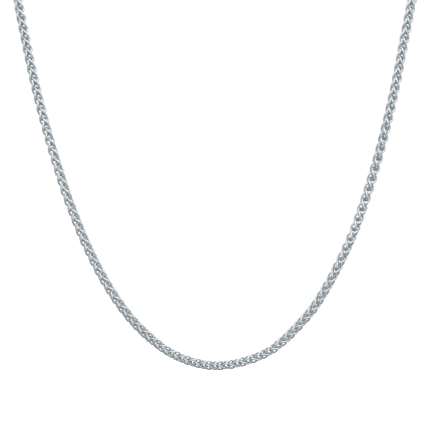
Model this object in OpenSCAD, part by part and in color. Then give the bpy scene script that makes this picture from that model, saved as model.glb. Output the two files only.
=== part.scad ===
// Wheat chain necklace, in millimetres.
// The loop keeps the form that it has on a neck: the origin is the middle of the nape,
// +Z is up, and the front hangs towards -Y and down to the lowest point of the chain.
// The woven links are drawn here as the round rope that they fill.

/* [Loop] */
// Width of the loop between the two sides of the neck, centre to centre
loop_width = 122; // [100:1:150]
// Depth of the loop, from the nape to the lowest point in front
loop_depth = 102; // [80:1:130]
// Drop of the loop, from the nape to its lowest point
loop_drop = 144; // [110:1:180]

/* [Chain] */
// Diameter of the woven chain
chain_d = 3.0; // [2.2:0.1:3.4]
// Wire of the small eye soldered on each end of the chain
eye_wire = 0.5; // [0.4:0.05:0.6]
// Clear bore of that eye
eye_bore = 1.4; // [1.2:0.1:2.2]

/* [End rings] */
// Outer diameter of each jump ring
ring_outer_d = 4.7; // [4.4:0.1:6]
// Wire of each jump ring
ring_wire = 0.7; // [0.5:0.05:0.8]

/* [Clasp] */
// Clear bore of the eye on the clasp's tail
tail_bore = 1.6; // [1.2:0.1:2]
// Wire of that eye
tail_wire = 0.9; // [0.7:0.05:1.2]
// Diameter of the neck between the tail eye and the claw
neck_d = 1.5; // [1:0.1:1.6]
// Length of the neck, from the tail eye to the claw
neck_length = 1.0; // [0.6:0.1:2.5]
// Thickness of the claw
claw_t = 1.6; // [1.2:0.1:1.8]
// Width of the claw at its tail
claw_width = 5.8; // [5:0.1:7]
// Width of the claw at its tip
tip_width = 5.0; // [4.4:0.1:5.8]
// Distance between the centres of the two round ends of the claw
claw_reach = 2.2; // [1.5:0.1:4]
// Width of the claw's opening
slot_width = 2.8; // [2:0.1:3]
// Diameter of the thumb knob on the claw
knob_d = 1.5; // [1:0.1:1.6]

/* [Fit] */
// Play between two pieces that hook into each other
play = 0.1; // [0.06:0.01:0.2]

/* [Hidden] */
// The route's points, chosen by hand: down the left side, along the front and up the right side.
chain_route = [
    [-23, -3, 0], [-36.5, -10.5, -0.5], [-48, -21, -2.5], [-55, -31.5, -5.5], [-59.5, -43, -10],
    [-61, -54.5, -17], [-60.5, -64, -26.5], [-59, -71, -37], [-56.5, -75, -49], [-53.5, -79.5, -62],
    [-50, -83.5, -75], [-46, -87.5, -88], [-42.5, -90.5, -98], [-37, -94, -111], [-30, -97.5, -123.5],
    [-22, -99.5, -133.5], [-12, -101.5, -141], [0.5, -102, -144], [14.5, -101, -140.2], [25, -99, -131],
    [31.5, -97, -122], [38.5, -93.5, -108.5], [43, -90, -97], [47, -86.5, -84.5], [50, -83.5, -73.5],
    [53, -79.5, -61], [55.5, -75, -49], [57.5, -72, -39.5], [60, -65, -27.5], [61, -55, -17],
    [59.5, -43, -10], [55, -31.5, -5.5], [48, -21, -2.5], [36.5, -10.5, -0.5], [23, -3, 0]
];
// Rings of the swept rope between two points of the route, and corners of each ring.
steps = 2;
sides = 8;
// A direction that the route never takes, which keeps the rings from turning.
reference = [0, -1, 0.4];
round_fn = 48;
blend_fn = 28;

// Jump ring: mean radius, and how far its curve comes forward across the claw's thickness.
ring_r = (ring_outer_d - ring_wire) / 2;
ring_in_r = ring_outer_d / 2 - ring_wire;
ring_bulge = ring_in_r - sqrt(ring_in_r ^ 2 - (claw_t / 2) ^ 2);

// Places along X, measured from the centre of the clasp's tail eye.
tail_r = (tail_bore + tail_wire) / 2;
claw_x = tail_bore / 2 + tail_wire + neck_length + claw_width / 2;
tip_x = claw_x + claw_reach;
slot_end = tip_x + slot_width / 2;
left_ring = -tail_bore / 2 + ring_wire / 2 + play - ring_r;
right_ring = slot_end - ring_bulge - play - ring_wire / 2 + ring_r;
eye_r = (eye_bore + eye_wire) / 2;
eye_offset = ring_r - ring_wire / 2 - play + eye_bore / 2;
// The rope ends in the middle of the eye's wire.
rope_end = eye_offset + eye_r;

// The origin lies halfway between the two ends of the rope.
middle = (left_ring + right_ring) / 2;
half_gap = (right_ring - left_ring) / 2 + rope_end;

// Both ends run level along X into their ring, so the point past each end mirrors the one before it.
function past_end(point, end_x) = [2 * end_x - point[0], point[1], point[2]];

function column(points, k) = [for (p = points) p[k]];

// The chosen points, stretched to the width, depth and drop of the loop.
stretch = [
    loop_width / (max(column(chain_route, 0)) - min(column(chain_route, 0))),
    loop_depth / -min(column(chain_route, 1)),
    loop_drop / -min(column(chain_route, 2))
];
worn_route = [for (p = chain_route) [p[0] * stretch[0], p[1] * stretch[1], p[2] * stretch[2]]];
first_point = worn_route[0];
last_point = worn_route[len(worn_route) - 1];
route = concat(
    [past_end(first_point, -half_gap), [-half_gap, 0, 0]],
    worn_route,
    [[half_gap, 0, 0], past_end(last_point, half_gap)]
);
spans = len(route) - 3;

function unit(v) = v / norm(v);

// A smooth curve through b and c, with a and d as the points before and after them.
function curve_point(a, b, c, d, t) =
    b + t / 2 * (c - a + t * (2 * a - 5 * b + 4 * c - d + t * (3 * b - a - 3 * c + d)));
function curve_slope(a, b, c, d, t) =
    unit(c - a + 2 * t * (2 * a - 5 * b + 4 * c - d) + 3 * t ^ 2 * (3 * b - a - 3 * c + d));

function station(i) = min(floor(i / steps), spans - 1);
function route_point(i) =
    let (s = station(i))
    curve_point(route[s], route[s + 1], route[s + 2], route[s + 3], i / steps - s);
function route_slope(i) =
    let (s = station(i))
    curve_slope(route[s], route[s + 1], route[s + 2], route[s + 3], i / steps - s);

// One ring of corners round the route, square to it.
function ring_corners(i, radius) =
    let (
        centre = route_point(i),
        across = unit(cross(route_slope(i), reference)),
        up = cross(across, route_slope(i))
    )
    [for (k = [0 : sides - 1]) centre + radius * (cos(360 * k / sides) * across + sin(360 * k / sides) * up)];

module swept_rope(diameter) {
    last = steps * spans;
    corners = [for (i = [0 : last]) each ring_corners(i, diameter / 2)];
    start_cap = [for (k = [sides - 1 : -1 : 0]) k];
    end_cap = [for (k = [0 : sides - 1]) last * sides + k];
    walls = [
        for (i = [0 : last - 1], k = [0 : sides - 1])
            let (next = (k + 1) % sides)
            [i * sides + k, i * sides + next, (i + 1) * sides + next, (i + 1) * sides + k]
    ];
    polyhedron(points = corners, faces = concat([start_cap], walls, [end_cap]), convexity = 6);
}

// A round ring of round wire, lying in the XY plane.
module wire_ring(mean_r, wire) {
    rotate_extrude($fn = round_fn)
        translate([mean_r, 0])
            circle(d = wire, $fn = round_fn / 2);
}

// A jump ring lies flat, so that the upright eyes on both sides of it hook into it.
module end_ring(x) {
    color([0.78, 0.79, 0.80])
        translate([x - middle, 0, 0])
            wire_ring(ring_r, ring_wire);
}

// An upright ring, with its bore along Y.
module upright_ring(x, mean_r, wire) {
    translate([x, 0, 0])
        rotate([90, 0, 0])
            wire_ring(mean_r, wire);
}

// The rope of links, with a small eye soldered on each end.
module chain() {
    color([0.75, 0.77, 0.79])
        union() {
            swept_rope(chain_d);
            for (side = [-1, 1])
                upright_ring(side * (half_gap - eye_r), eye_r, eye_wire);
        }
}

// A round end of the claw: a disc with a full round rim, lying in the XZ plane.
module claw_end(x, width) {
    translate([x, 0, 0])
        rotate([90, 0, 0])
            rotate_extrude($fn = blend_fn)
                translate([(width - claw_t) / 2, 0])
                    circle(d = claw_t, $fn = blend_fn / 2);
}

// The opening of the claw, cut right through along Y.
module claw_slot() {
    cut = 2 * claw_t;
    rotate([90, 0, 0])
        translate([0, 0, -cut / 2])
            union() {
                for (x = [claw_x, tip_x])
                    translate([x, 0, 0])
                        cylinder(h = cut, d = slot_width, $fn = round_fn);
                translate([claw_x, -slot_width / 2, 0])
                    cube([claw_reach, slot_width, cut]);
            }
}

// Lobster clasp, closed, as one plain piece.
module clasp() {
    knob_z = claw_width / 2;
    color([0.78, 0.79, 0.80])
        translate([-middle, 0, 0])
            union() {
                upright_ring(0, tail_r, tail_wire);
                translate([tail_r, 0, 0])
                    rotate([0, 90, 0])
                        cylinder(h = claw_x - slot_width / 2 - tail_r - play, d = neck_d, $fn = round_fn);
                difference() {
                    union() {
                        hull() {
                            claw_end(claw_x, claw_width);
                            claw_end(tip_x, tip_width);
                        }
                        translate([claw_x, 0, knob_z])
                            sphere(d = knob_d, $fn = round_fn);
                    }
                    claw_slot();
                }
            }
}

chain();
end_ring(left_ring);  // end_ring_left
end_ring(right_ring);  // end_ring_right
clasp();
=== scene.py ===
# %% [markdown]
# # A wheat chain necklace
# A wheat chain is a woven rope of small twisted links, closed at the nape by a lobster clasp.
# The CAD part holds the loop's route, the two jump rings and the clasp, and draws the rope as a plain tube.
# This script keeps that frame and adds what the eye looks for: the woven links, the silver and the light.

# %% Load the frame
import bisect
import math

import bmesh
import bpy
from mathutils import Matrix, Vector


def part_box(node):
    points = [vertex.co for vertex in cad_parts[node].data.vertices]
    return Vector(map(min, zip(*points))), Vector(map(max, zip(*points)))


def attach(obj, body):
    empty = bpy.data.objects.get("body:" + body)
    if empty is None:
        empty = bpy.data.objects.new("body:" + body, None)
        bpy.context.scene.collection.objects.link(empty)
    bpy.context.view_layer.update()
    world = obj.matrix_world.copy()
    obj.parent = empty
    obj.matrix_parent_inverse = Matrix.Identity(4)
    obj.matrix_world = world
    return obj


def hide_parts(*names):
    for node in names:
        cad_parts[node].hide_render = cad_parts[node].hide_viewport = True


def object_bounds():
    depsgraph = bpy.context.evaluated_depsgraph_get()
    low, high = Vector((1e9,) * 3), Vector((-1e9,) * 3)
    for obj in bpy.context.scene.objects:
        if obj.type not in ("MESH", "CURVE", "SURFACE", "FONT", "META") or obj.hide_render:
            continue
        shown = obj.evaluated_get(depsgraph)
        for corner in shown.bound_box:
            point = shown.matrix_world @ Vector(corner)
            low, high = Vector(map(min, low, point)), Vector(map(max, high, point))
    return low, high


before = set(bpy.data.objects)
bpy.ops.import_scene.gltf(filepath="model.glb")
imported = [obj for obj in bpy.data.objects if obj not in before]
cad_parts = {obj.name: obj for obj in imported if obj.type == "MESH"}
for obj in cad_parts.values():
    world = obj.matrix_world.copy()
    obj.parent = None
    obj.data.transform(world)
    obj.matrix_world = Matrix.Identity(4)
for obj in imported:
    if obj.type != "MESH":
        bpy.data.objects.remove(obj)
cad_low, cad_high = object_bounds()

MM = 0.001
scene = bpy.context.scene
print("CAD nodes:", sorted(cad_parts))

# %% [markdown]
# ## Camera
# The necklace was photographed straight from the front, and the top of the picture cuts off the nape.
# The camera looks level, and stands in front of the lowest point of the chain.
# A lens as long as this one keeps the legs of the loop nearly as wide as they are drawn in the CAD.

# %% Place the camera
IMAGE_SIDE = 433
SENSOR = 36
FRONT_Y = -102 * MM
VIEW_DISTANCE = 900 * MM
VIEW_WIDTH = 124.49 * MM
CAMERA_AT = (-0.1 * MM, FRONT_Y - VIEW_DISTANCE, -101.14 * MM)

camera_data = bpy.data.cameras.new("camera")
camera_data.sensor_width = SENSOR
camera_data.lens = SENSOR * VIEW_DISTANCE / VIEW_WIDTH
camera_data.clip_start = 50 * MM
camera = bpy.data.objects.new("camera", camera_data)
camera.location = CAMERA_AT
camera.rotation_euler = (math.radians(90), 0, 0)
scene.collection.objects.link(camera)
scene.camera = camera
print(f"lens {camera_data.lens:.1f} mm, {VIEW_WIDTH / IMAGE_SIDE / MM:.4f} mm in a pixel")


# %% [markdown]
# ## Colours and nodes
# Colours are written as sRGB hex values, as a picture editor shows them.
# Blender's shaders need linear light, so one function turns the one into the other.
# A second function adds a shader node with its settings and links, so each material below is a short list.

# %% Colour and node helpers
def linear(code):
    """The linear colour of an sRGB hex value such as 9AA0A4."""
    parts = [int(code[i:i + 2], 16) / 255 for i in (0, 2, 4)]
    return [p / 12.92 if p <= 0.04045 else ((p + 0.055) / 1.055) ** 2.4 for p in parts] + [1]


def add_node(tree, kind, settings=None, **inputs):
    """A node of that kind. Each input is a value, or a socket that is linked to it."""
    node = tree.nodes.new("ShaderNode" + kind)
    for name, value in (settings or {}).items():
        setattr(node, name, value)
    for name, value in inputs.items():
        key = int(name[1:]) if name[0] == "_" else name.replace("_", " ")
        if isinstance(value, bpy.types.NodeSocket):
            tree.links.new(value, node.inputs[key])
        else:
            node.inputs[key].default_value = value
    return node


def set_ramp(node, stops):
    """Gives a colour ramp its stops, as pairs of a place and a hex colour."""
    elements = node.color_ramp.elements
    while len(elements) < len(stops):
        elements.new(1)
    for element, (place, code) in zip(elements, stops):
        element.position = place
        element.color = linear(code)


# %% [markdown]
# ## Floor and light
# Silver has hardly any colour of its own: it shows the room.
# The photograph has a bright white room with its light high above, which grows dark below the chain.
# The world is therefore a ramp along one direction, a little darker at the sides than in front and behind.
# A large lamp above the front gives the highlights.
# The camera itself sees plain white, and the floor is a white sheet that the silver doesn't mirror.

# %% Build the world
LIGHT_FROM = Vector((0.15, 0.1, 0.95)).normalized()
ROOM_STRENGTH = 1.16
world = bpy.data.worlds.new("studio")
scene.world = world
world.use_nodes = True
room = world.node_tree
room.nodes.clear()
look = add_node(room, "TexCoord")
facing = add_node(room, "VectorMath", {"operation": "DOT_PRODUCT"},
                  _0=look.outputs["Generated"], _1=LIGHT_FROM)
height = add_node(room, "Math", {"operation": "MULTIPLY_ADD"}, _0=facing.outputs["Value"], _1=0.5, _2=0.5)
wall = add_node(room, "ValToRGB", Fac=height.outputs["Value"])
set_ramp(wall, [(0.05, "5E6468"), (0.3, "A4A9AD"), (0.5, "D3D6D8"), (0.7, "D8DBDD"), (0.88, "DCDFE1")])
axis = add_node(room, "SeparateXYZ", Vector=look.outputs["Generated"])
front_or_back = add_node(room, "Math", {"operation": "ABSOLUTE"}, _0=axis.outputs["Y"])
sides = add_node(room, "ValToRGB", Fac=front_or_back.outputs["Value"])
set_ramp(sides, [(0.0, "B7BEC5"), (0.18, "BFC5CA"), (0.45, "FFFFFF")])
tent = add_node(room, "MixRGB", {"blend_type": "MULTIPLY"}, Fac=1.0, Color1=wall.outputs["Color"],
                Color2=sides.outputs["Color"])
mirrored = add_node(room, "Background", Color=tent.outputs["Color"], Strength=ROOM_STRENGTH)
backdrop = add_node(room, "Background", Color=linear("FFFFFF"), Strength=1.0)
ray = add_node(room, "LightPath")
either = add_node(room, "MixShader", _0=ray.outputs["Is Camera Ray"],
                  _1=mirrored.outputs["Background"], _2=backdrop.outputs["Background"])
add_node(room, "OutputWorld", Surface=either.outputs["Shader"])

# %% Lay the floor and hang the lamps
LOOP_MIDDLE = Vector((0, -60, -80)) * MM
FLOOR_HALF = 900 * MM
FLOOR_DROP = 30 * MM
floor_mesh = bpy.data.meshes.new("floor")
sheet = bmesh.new()
bmesh.ops.create_grid(sheet, x_segments=2, y_segments=2, size=FLOOR_HALF)
bmesh.ops.translate(sheet, verts=sheet.verts, vec=(0, LOOP_MIDDLE.y, cad_low.z - FLOOR_DROP))
sheet.to_mesh(floor_mesh)
sheet.free()
floor = bpy.data.objects.new("floor", floor_mesh)
scene.collection.objects.link(floor)
floor.visible_glossy = False

paper = bpy.data.materials.new("white_paper")
paper.use_nodes = True
paper.node_tree.nodes.clear()
paper_shader = add_node(paper.node_tree, "BsdfPrincipled", Base_Color=linear("F4F4F4"), Roughness=0.9,
                        Emission_Color=linear("FFFFFF"), Emission_Strength=0.75)
add_node(paper.node_tree, "OutputMaterial", Surface=paper_shader.outputs["BSDF"])
floor_mesh.materials.append(paper)


def hang_lamp(name, place, side, power):
    """A square soft lamp that faces the middle of the loop. Its place and side are in metres."""
    lamp_data = bpy.data.lights.new(name, "AREA")
    lamp_data.size = side
    lamp_data.energy = power
    lamp = bpy.data.objects.new(name, lamp_data)
    lamp.location = place
    lamp.rotation_euler = (LOOP_MIDDLE - Vector(place)).to_track_quat("-Z", "Y").to_euler()
    scene.collection.objects.link(lamp)
    lamp.visible_camera = False


hang_lamp("key_lamp", (0.1, -0.75, 1.05), 1.8, 6)
hang_lamp("back_lamp", (0.5, 1.1, 0.6), 0.8, 2)

# %% [markdown]
# ## Route of the chain
# The chain hangs as it does on a neck: level round the nape, over the shoulders and down in front.
# The same few points as in the CAD are joined by a smooth curve that passes through each of them.
# A link is placed by its distance along the curve, so the curve is measured once and then read by length.
# A soldered eye on each end holds a jump ring of the CAD and the last link.
# The CAD draws no link there, so the eye is a little wider here than there, with room for both wires.

# %% Measure the route
CHAIN_WIDTH = 3.0 * MM
RING_WIRE = 0.7 * MM
RING_PLAY = 0.1 * MM
CAD_EYE_BORE = 1.4 * MM
EYE_RADIUS = 1.02 * MM
EYE_WIRE = 0.5 * MM
ring_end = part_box("end_ring_right")[1].x
eye_centre = ring_end - RING_WIRE - RING_PLAY + CAD_EYE_BORE / 2
rope_end = eye_centre + EYE_RADIUS
ROUTE = [
    (-23, -3, 0), (-36.5, -10.5, -0.5), (-48, -21, -2.5), (-55, -31.5, -5.5), (-59.5, -43, -10),
    (-61, -54.5, -17), (-60.5, -64, -26.5), (-59, -71, -37), (-56.5, -75, -49), (-53.5, -79.5, -62),
    (-50, -83.5, -75), (-46, -87.5, -88), (-42.5, -90.5, -98), (-37, -94, -111), (-30, -97.5, -123.5),
    (-22, -99.5, -133.5), (-12, -101.5, -141), (0.5, -102, -144), (14.5, -101, -140.2), (25, -99, -131),
    (31.5, -97, -122), (38.5, -93.5, -108.5), (43, -90, -97), (47, -86.5, -84.5), (50, -83.5, -73.5),
    (53, -79.5, -61), (55.5, -75, -49), (57.5, -72, -39.5), (60, -65, -27.5), (61, -55, -17),
    (59.5, -43, -10), (55, -31.5, -5.5), (48, -21, -2.5), (36.5, -10.5, -0.5), (23, -3, 0),
]
STEPS = 24
# A direction that the route never takes, so that the sides of the rope never flip.
REFERENCE = Vector((0, -1, 0.4))


def smooth_curve(points, steps):
    """Points on the smooth curve through all but the first and the last of these points."""
    curve = []
    for a, b, c, d in zip(points, points[1:], points[2:], points[3:]):
        for i in range(steps):
            t = i / steps
            curve.append(b + t / 2 * (c - a + t * (2 * a - 5 * b + 4 * c - d + t * (3 * b - a - 3 * c + d))))
    return curve + [points[-2]]


def lengths_along(points):
    """The distance from the first point to each point."""
    marks = [0]
    for a, b in zip(points, points[1:]):
        marks.append(marks[-1] + (b - a).length)
    return marks


chosen = [Vector(p) * MM for p in ROUTE]
start, end = Vector((-rope_end, 0, 0)), Vector((rope_end, 0, 0))
before = Vector((2 * start.x - chosen[0].x, chosen[0].y, chosen[0].z))
after = Vector((2 * end.x - chosen[-1].x, chosen[-1].y, chosen[-1].z))
curve = smooth_curve([before, start] + chosen + [end, after], STEPS)
marks = lengths_along(curve)
rope_length = marks[-1]
print(f"rope {rope_length / MM:.1f} mm long, loop {(rope_length + 2 * rope_end) / MM:.0f} mm round")


def frame_at(distance):
    """The route's point, direction and outward side at a distance along it."""
    i = min(max(bisect.bisect_right(marks, distance) - 1, 1), len(curve) - 3)
    part = (distance - marks[i]) / (marks[i + 1] - marks[i])
    point = curve[i].lerp(curve[i + 1], part)
    slope = (curve[i + 1] - curve[i - 1]).lerp(curve[i + 2] - curve[i], part).normalized()
    return point, slope, slope.cross(REFERENCE).normalized()


# %% [markdown]
# ## One link
# Each link is an oval of round wire, twisted about the chain's length, so that its two sides cross like an 8.
# Every second link is twisted the other way and turned by a right angle, which gives the ears of wheat.
# The link's length less the pitch is just over the wire, so two links of a kind hook with hardly any play.
# The wire is swept: a small circle is set square to the wire at each station, and neighbours are bridged.
# There are three hundred links, so a link has few stations and few sides, and smooth shading does the rest.

# %% Draw the wire of a link
LINK_LENGTH = 3.95 * MM
LINK_WIRE = 0.62 * MM
LINK_PITCH = 3.25 * MM
TWIST = math.radians(30.6) / MM
STATIONS = 16
SIDES = 6
FINE_STEPS = 360


def link_path(hand):
    """The centre of the link's wire, twisted to the left or to the right. The root makes its ends blunt."""
    loop = []
    for i in range(FINE_STEPS):
        angle = 2 * math.pi * i / FINE_STEPS
        rise = math.copysign(math.sqrt(abs(math.sin(angle))), math.sin(angle)) * LINK_LENGTH / 2
        turn = Matrix.Rotation(hand * TWIST * rise, 3, "Z")
        loop.append(turn @ Vector((math.cos(angle), 0, rise)))
    widest = max(p.to_2d().length for p in loop)
    reach = (CHAIN_WIDTH - LINK_WIRE) / 2 / widest
    return [Vector((p.x * reach, p.y * reach, p.z)) for p in loop]


def evenly(loop, stations):
    """Points at even distances round a closed line, and its length."""
    ring = loop + loop[:1]
    ring_marks = lengths_along(ring)
    picked = []
    for i in range(stations):
        where = ring_marks[-1] * i / stations
        j = bisect.bisect_right(ring_marks, where) - 1
        part = (where - ring_marks[j]) / (ring_marks[j + 1] - ring_marks[j])
        picked.append(ring[j].lerp(ring[j + 1], part))
    return picked, ring_marks[-1]


def sweep_loop(centres, wire, sides):
    """A bmesh of round wire along a closed line of centres."""
    solid = bmesh.new()
    stations = len(centres)
    slopes = [(centres[(i + 1) % stations] - centres[i - 1]).normalized() for i in range(stations)]
    turn = slopes[0].to_track_quat("Z", "Y")
    rings = []
    for i, centre in enumerate(centres):
        if i:
            turn = slopes[i - 1].rotation_difference(slopes[i]) @ turn
        made = bmesh.ops.create_circle(solid, radius=wire / 2, segments=sides,
                                       matrix=Matrix.Translation(centre) @ turn.to_matrix().to_4x4())
        rings.append(sorted({e for v in made["verts"] for e in v.link_edges}, key=lambda e: e.index))
    for i in range(stations):
        bmesh.ops.bridge_loops(solid, edges=rings[i] + rings[(i + 1) % stations])
    bmesh.ops.recalc_face_normals(solid, faces=solid.faces)
    return solid


links = []
for hand in (1, -1):
    centres, wire_length = evenly(link_path(hand), STATIONS)
    solid = sweep_loop(centres, LINK_WIRE, SIDES)
    mesh = bpy.data.meshes.new("link")
    solid.to_mesh(mesh)
    solid.free()
    links.append(mesh)
print(f"a link has {wire_length / MM:.2f} mm of wire and {len(links[0].polygons)} faces")

# %% [markdown]
# ## The weave
# Each link passes through the two before it: its neighbour half a pitch back, and the last of its own kind.
# The whole rope also rolls slowly about its own length, as a chain does where it lies on a chest.
# The roll was chosen so that both legs show the same sides of the links as in the photograph.
# Along the bottom no roll fits it clearly, so there the roll just runs on from one leg to the other.
# The links are copied into one bmesh along a straight line, and then each corner is moved onto the route.

# %% Count the links and set their roll
END_PLAY = 0.025 * MM
HOOK = (LINK_WIRE + EYE_WIRE) / 2 + END_PLAY

free_length = rope_length + 2 * HOOK - LINK_LENGTH
link_count = round(free_length / (LINK_PITCH / 2)) + 1
advance = free_length / (link_count - 1)


def level_roll(distance, i, up, near):
    """The roll close to near that lays an end bend of link i level, so that it hooks the upright eye."""
    _, slope, outward = frame_at(distance)
    level = math.degrees(math.atan2(-outward.z, outward.cross(slope).z))
    hand = 1 - 2 * (i % 2)
    roll = level - 90 * (i % 2) - hand * up * math.degrees(TWIST) * LINK_LENGTH / 2
    return roll + 180 * round((near - roll) / 180)


# Pairs of a distance along the rope, in millimetres, and the roll there, in degrees.
SEEN_ROLL = [
    (115, 92), (135, 104), (150, 108), (165, 118), (225, 120), (270, 125),
    (285, 125), (300, 116), (312, 104), (328, 90), (356, 76),
]
ROLL = [(place * MM, roll) for place, roll in SEEN_ROLL]
ROLL = [(0, level_roll(0, 0, -1, ROLL[0][1]))] + ROLL
ROLL.append((rope_length, level_roll(rope_length, link_count - 1, 1, ROLL[-1][1])))


def roll_at(distance):
    """The chain's roll about its own length, in radians, read between the marks of the table."""
    for (a, low), (b, high) in zip(ROLL, ROLL[1:]):
        if distance <= b or b == ROLL[-1][0]:
            part = (distance - a) / (b - a)
            return math.radians(low + (high - low) * min(max(part, 0), 1))


# %% Weave the chain
weave = bmesh.new()
from_core = weave.verts.layers.float.new("from_core")
for i in range(link_count):
    old = len(weave.verts)
    weave.from_mesh(links[i % 2])
    weave.verts.ensure_lookup_table()
    new = weave.verts[old:]
    here = LINK_LENGTH / 2 - HOOK + i * advance
    turn = Matrix.Rotation(roll_at(here) + math.radians(90) * (i % 2), 4, "Z")
    bmesh.ops.transform(weave, matrix=Matrix.Translation((0, 0, here)) @ turn, verts=new)
# from_core is stored for the silver, which darkens the colour towards the rope's middle line as painted
# shade.
for v in weave.verts:
    v[from_core] = v.co.to_2d().length / (CHAIN_WIDTH / 2)
    point, slope, outward = frame_at(v.co.z)
    v.co = point + outward * v.co.x + outward.cross(slope) * v.co.y
print(f"{link_count} links, {2 * advance / MM:.3f} mm from one to the next of its kind")


# %% Solder the end eyes
EYE_STATIONS = 40
EYE_SIDES = 12


def upright_circle(radius, stations):
    """Points round a circle in the XZ plane."""
    angles = [2 * math.pi * i / stations for i in range(stations)]
    return [Vector((radius * math.cos(a), 0, radius * math.sin(a))) for a in angles]


eye = sweep_loop(upright_circle(EYE_RADIUS, EYE_STATIONS), EYE_WIRE, EYE_SIDES)
eye_mesh = bpy.data.meshes.new("eye")
eye.to_mesh(eye_mesh)
eye.free()
for side in (-1, 1):
    old = len(weave.verts)
    weave.from_mesh(eye_mesh)
    weave.verts.ensure_lookup_table()
    bmesh.ops.translate(weave, verts=weave.verts[old:], vec=(side * eye_centre, 0, 0))
    for v in weave.verts[old:]:
        v[from_core] = 1
for face in weave.faces:
    face.smooth = True
chain_mesh = bpy.data.meshes.new("woven_chain")
weave.to_mesh(chain_mesh)
weave.free()
woven_chain = bpy.data.objects.new("woven_chain", chain_mesh)
scene.collection.objects.link(woven_chain)
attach(woven_chain, "root")
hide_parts("chain")
print(f"woven chain: {len(chain_mesh.polygons)} faces")

# %% [markdown]
# ## Silver
# The chain is sterling silver wire that was woven, tumbled bright and plated with rhodium.
# That gives a cool grey-white metal with a soft shine, and its polish varies over half a millimetre.
# The wire is rougher towards the hollows between the links, and its colour is darker there as painted shade.
# The attribute that the weave stores, from 0 on the rope's middle line to 1 at its outside, tells them apart.
# The rings and the clasp were polished on a wheel, so they mirror the room more sharply.

# %% Make the silver
def make_silver(name, tint, dull_and_shade, rough, grain, woven):
    """Silver with an uneven polish. On the woven chain its colour also darkens towards the chain's core, as
    painted shade in the hollows between the links.
    """
    silver = bpy.data.materials.new(name)
    silver.use_nodes = True
    tree = silver.node_tree
    tree.nodes.clear()
    place = add_node(tree, "TexCoord")
    cloud = add_node(tree, "TexNoise", Vector=place.outputs["Object"], Scale=1 / grain, Detail=3.0)
    polish_and_shade = add_node(tree, "Math", {"operation": "MULTIPLY_ADD"}, _0=cloud.outputs["Fac"], _1=0.25, _2=0.75)
    # Painted shade: on the chain, colour and roughness follow from_core, so the base colour darkens towards
    # the rope's middle line.
    if woven:
        core = add_node(tree, "Attribute", {"attribute_name": "from_core"})
        tree.links.new(core.outputs["Fac"], polish_and_shade.inputs[2])
    tone = add_node(tree, "ValToRGB", Fac=polish_and_shade.outputs["Value"])
    # The ramp's lower colour is both random tone of the uneven polish and, on the chain, painted shade of its
    # core.
    set_ramp(tone, [(0.45, dull_and_shade), (0.95, tint)])
    polish = add_node(tree, "MapRange", Value=polish_and_shade.outputs["Value"], _1=0.4, _2=1.1, _3=rough * 2, _4=rough)
    surface = add_node(tree, "BsdfPrincipled", Base_Color=tone.outputs["Color"], Metallic=1.0,
                       Roughness=polish.outputs["Result"])
    add_node(tree, "OutputMaterial", Surface=surface.outputs["BSDF"])
    return silver


CHAIN_GRAIN = 0.6 * MM
WHEEL_GRAIN = 1.2 * MM
# The chain's darker colour, D9DBDC, is partly random tone and partly painted shade in the hollows towards the
# rope's core.
chain_silver = make_silver("tumbled_silver_wire", "EDF1F3", "D9DBDC", 0.3, CHAIN_GRAIN, True)
findings_silver = make_silver("wheel_polished_silver", "ECEEF0", "DDDFE0", 0.12, WHEEL_GRAIN, False)
chain_mesh.materials.append(chain_silver)
for name in ("end_ring_left", "end_ring_right", "clasp"):
    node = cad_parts[name]
    node.material_slots[0].material = findings_silver

# %% Colour management, sizes and finish
scene.view_settings.view_transform = "Standard"
print("CAD size", [round(v / MM, 2) for v in cad_high - cad_low])
